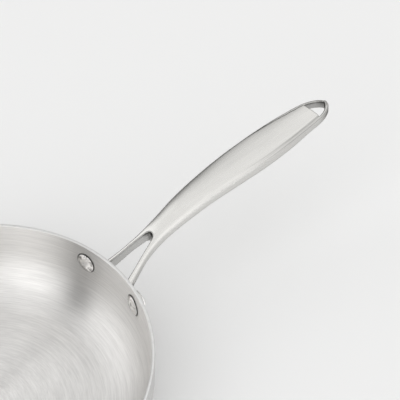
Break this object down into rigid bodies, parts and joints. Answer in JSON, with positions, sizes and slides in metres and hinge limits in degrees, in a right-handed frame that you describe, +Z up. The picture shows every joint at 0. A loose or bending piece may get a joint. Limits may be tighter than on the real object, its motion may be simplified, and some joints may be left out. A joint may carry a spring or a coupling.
{
  "type": "frying pan",
  "caption": "Stainless steel frying pan: a shallow round bowl of bonded sheet metal, riveted to a forked cast handle that rises to a flat grip and ends in a hanging loop.",
  "frame": {"origin": "on the pan's axis, at the underside of its flat base", "axes": "+Z up along the pan's axis, +X along the handle from the pan to the hanging loop, +Y to the left of the handle as seen from the pan"},
  "size_m": [0.4299, 0.24, 0.0831],
  "materials": {
    "cooking_face": "brushed round the pan's axis, satin",
    "core": "cut and ground edge, seen only at the rim",
    "outside": "brushed round the pan's axis, satin",
    "cast_handle": "satin, fine brushing along the handle",
    "rivets": "polished"
  },
  "bodies": {
    "root": {"inner_steel_ply": "cooking_face", "aluminium_core": "core", "outer_steel_ply": "outside", "handle": "cast_handle", "rivet_left": "rivets", "rivet_right": "rivets"}
  },
  "joints": []
}
